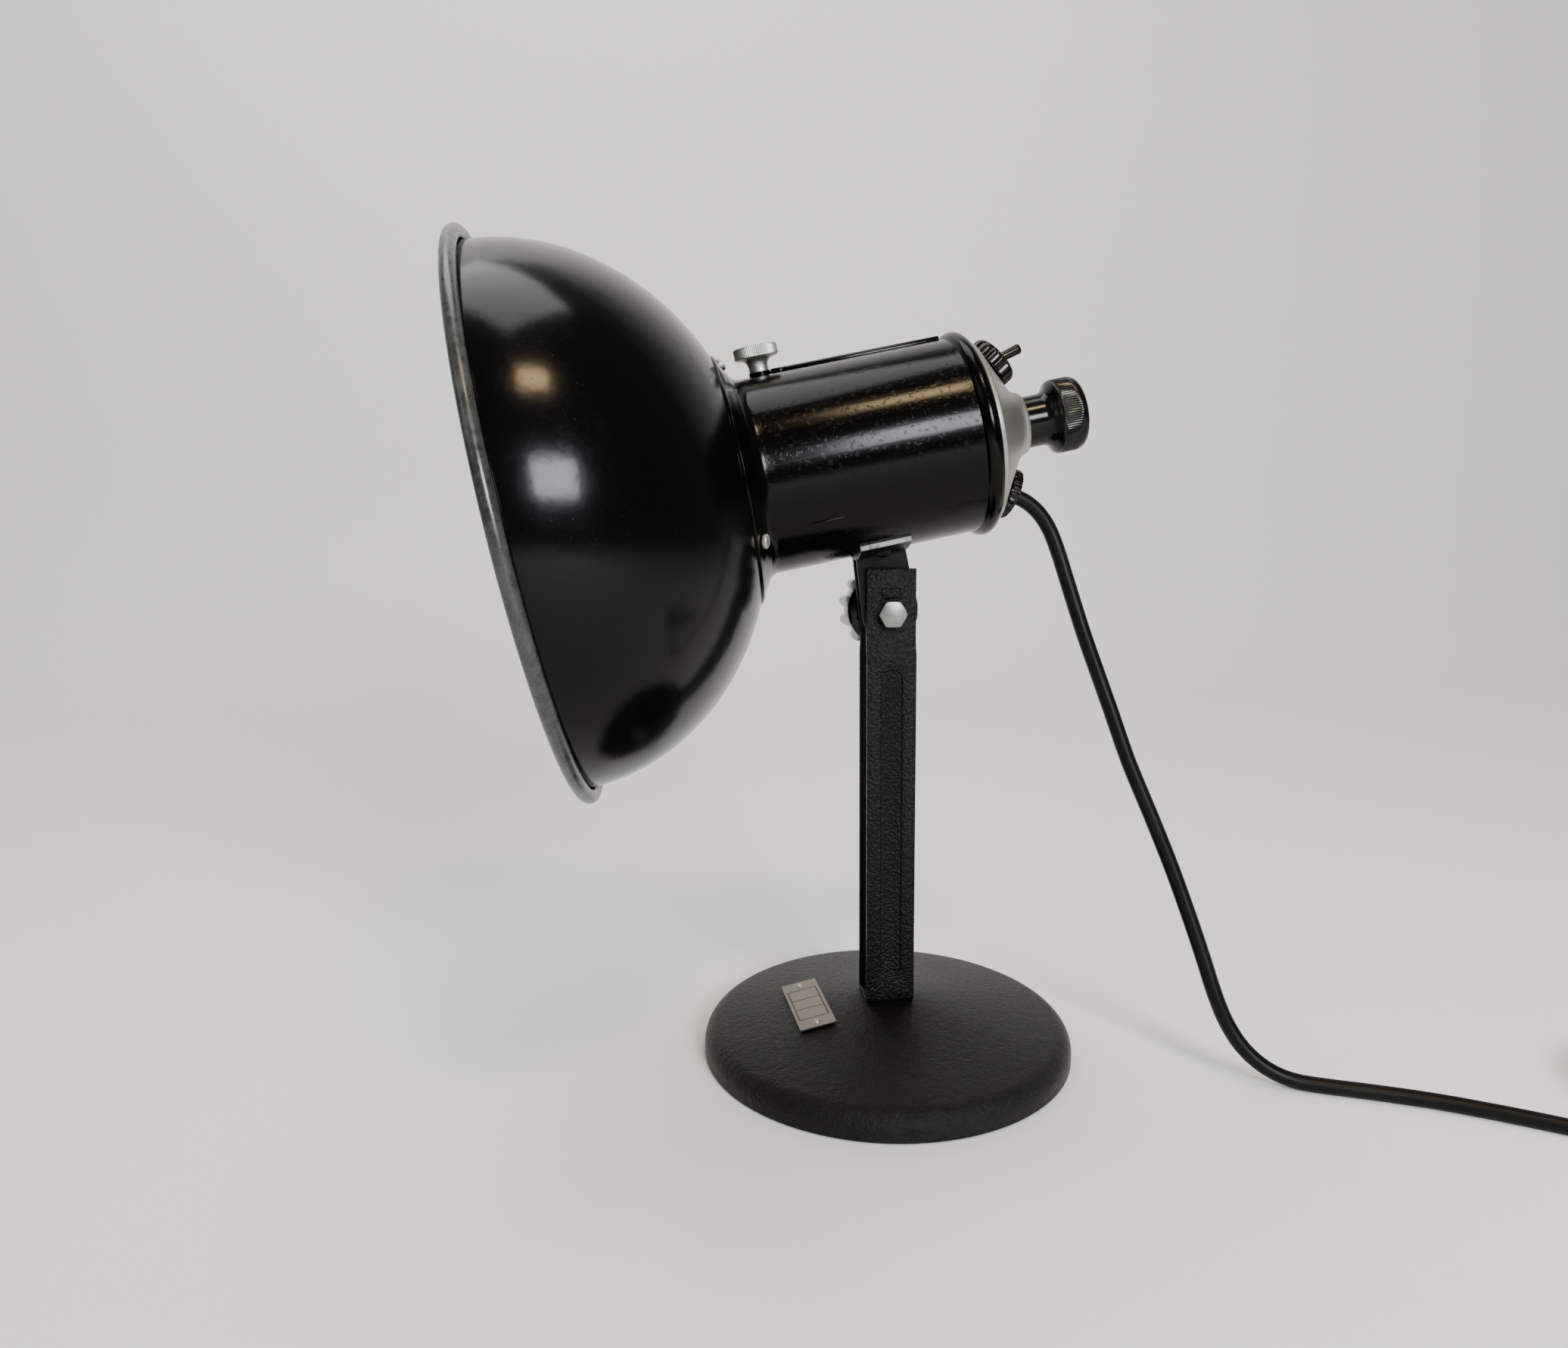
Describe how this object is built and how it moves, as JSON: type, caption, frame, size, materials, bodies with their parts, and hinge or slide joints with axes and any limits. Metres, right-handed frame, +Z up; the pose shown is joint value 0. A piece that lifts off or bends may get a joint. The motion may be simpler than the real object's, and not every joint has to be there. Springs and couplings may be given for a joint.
{
  "type": "photographic reflector lamp",
  "caption": "Tabletop photographic flood lamp: enamelled bowl reflector on a tilting tubular head, strap post and round cast base.",
  "frame": {"origin": "centre of the underside of the base, on the surface that it stands on", "axes": "+Z up along the post, -X the way the lamp shines, +X the switch end, Y along the hinge bolt"},
  "size_m": [0.6723, 0.3255, 0.4274],
  "materials": {
    "base_paint": "black hammered enamel on cast iron",
    "pad_felt": "dark felt",
    "strap_paint": "black crackle enamel",
    "zinc_steel": "zinc plated",
    "plate_metal": "aged nickel plate, blank frames",
    "pin_metal": "drive pins",
    "fibre": "vulcanised fibre",
    "bakelite_black": "polished black phenolic",
    "bakelite_brown": "polished dark brown phenolic",
    "cast_aluminium": "satin",
    "spun_aluminium": "satin spun",
    "brass": "plain",
    "lacquer": "gloss black lacquer",
    "enamel": "gloss black vitreous enamel, white inside",
    "nickel": "nickel plated",
    "porcelain": "glazed",
    "opal_glass": "opal",
    "wire": "insulated wires",
    "cord_jacket": "black flexible jacket",
    "sheet_steel": "plain sheet"
  },
  "bodies": {
    "root": {"base": "base_paint", "base_pad": "pad_felt", "post_strap": "strap_paint", "post_bolt": "zinc_steel", "post_washer": "zinc_steel", "post_nut": "zinc_steel", "nameplate": "plate_metal", "nameplate_pins": "pin_metal", "hinge_bolt": "zinc_steel", "cord": "cord_jacket", "cord_coil": "cord_jacket", "coil_tie": "cord_jacket", "plug_body": "cord_jacket", "plug_pins": "nickel"},
    "clamp_knob": {"clamp_disc": "bakelite_black", "clamp_wheel": "cast_aluminium", "clamp_bush": "brass"},
    "lamp_head": {"friction_washers": "fibre", "hinge_spacer": "sheet_steel", "tilt_bracket": "strap_paint", "bracket_rivets": "lacquer", "housing_tube": "lacquer", "guide_channel": "lacquer", "screw_boss": "lacquer", "reflector": "enamel", "reflector_screws": "nickel", "reflector_nuts": "nickel", "rear_cap": "spun_aluminium", "switch_body": "bakelite_brown", "switch_ring": "bakelite_brown", "cord_gland": "bakelite_black", "gland_ring": "bakelite_brown", "terminal_block": "porcelain", "terminal_screws": "brass", "internal_leads": "wire"},
    "switch_lever": {"toggle_lever": "bakelite_brown"},
    "lock_screw": {"lock_screw": "nickel"},
    "focus_carrier": {"focus_knob": "bakelite_black", "focus_rod": "sheet_steel", "knob_nut": "sheet_steel", "socket_carriage": "sheet_steel", "guide_key": "sheet_steel", "lampholder": "porcelain", "screw_shell": "brass", "centre_contact": "brass", "bulb_cap": "nickel", "bulb_glass": "opal_glass"}
  },
  "joints": [
    {"name": "head_tilt", "type": "hinge", "parent": "root", "child": "lamp_head", "pos_m": [0, 0, 0.241], "axis": [0, 1, 0], "range_deg": [-45, 75], "deforming": ["cord"]},
    {"name": "clamp_turn", "type": "hinge", "parent": "root", "child": "clamp_knob", "pos_m": [0, 0.02, 0.241], "axis": [0, 1, 0], "range_deg": [0, 360]},
    {"name": "focus_slide", "type": "slide", "parent": "lamp_head", "child": "focus_carrier", "axis": [0.9816, 0, 0.1908], "range_m": [-0.01, 0.014]},
    {"name": "lock_turn", "type": "hinge", "parent": "lamp_head", "child": "lock_screw", "pos_m": [-0.06669, 0, 0.36658], "axis": [-0.1908, 0, 0.9816], "range_deg": [0, 360]},
    {"name": "switch_toggle", "type": "hinge", "parent": "lamp_head", "child": "switch_lever", "pos_m": [0.05347, 0, 0.36786], "axis": [0, -1, 0], "range_deg": [0, 35]}
  ]
}
